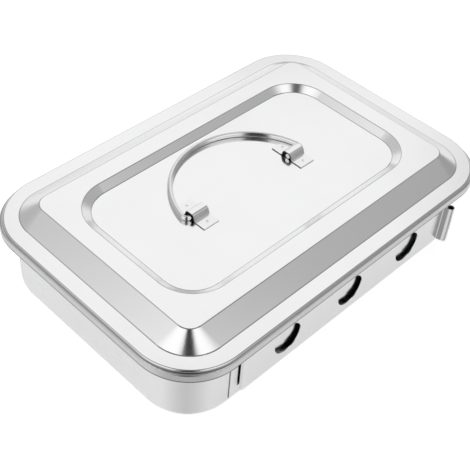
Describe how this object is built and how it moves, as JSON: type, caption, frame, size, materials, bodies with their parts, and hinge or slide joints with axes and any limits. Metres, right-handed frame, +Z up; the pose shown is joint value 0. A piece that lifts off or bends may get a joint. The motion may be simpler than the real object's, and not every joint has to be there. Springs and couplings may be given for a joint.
{
  "type": "sterilization container",
  "caption": "Flat stainless steel instrument tray with a lift-off lid, a folding wire handle and sliding vent shutters in both long walls.",
  "frame": {"origin": "middle of the tray's underside, on the surface it stands on", "axes": "+X along the long side, +Y across it from the front shutter to the rear one, +Z up towards the lid"},
  "size_m": [0.3044, 0.2072, 0.069],
  "materials": {
    "tray_steel": "satin deep-drawn sheet",
    "lid_steel": "bright satin pressed sheet",
    "strip_steel": "bright satin strip",
    "fitting_steel": "bright bent sheet",
    "wire_steel": "polished wire"
  },
  "bodies": {
    "tray": {"tray_pan": "tray_steel", "front_runner": "strip_steel", "rear_runner": "strip_steel"},
    "lid": {"lid_panel": "lid_steel", "handle_clip_left": "fitting_steel", "handle_clip_right": "fitting_steel"},
    "handle": {"lid_handle": "wire_steel"},
    "front_vent_shutter": {"front_shutter": "strip_steel"},
    "rear_vent_shutter": {"rear_shutter": "strip_steel"}
  },
  "joints": [
    {"name": "lid_lift", "type": "slide", "parent": "tray", "child": "lid", "axis": [0, 0, 1], "range_m": [0, 0.06]},
    {"name": "handle_swing", "type": "hinge", "parent": "lid", "child": "handle", "pos_m": [-0.0033, -0.0018, 0.0656], "axis": [1, 0, 0], "range_deg": [0, 175]},
    {"name": "front_shutter_slide", "type": "slide", "parent": "tray", "child": "front_vent_shutter", "axis": [1, 0, 0], "range_m": [0, 0.028]},
    {"name": "rear_shutter_slide", "type": "slide", "parent": "tray", "child": "rear_vent_shutter", "axis": [-1, 0, 0], "range_m": [0, 0.028]}
  ]
}
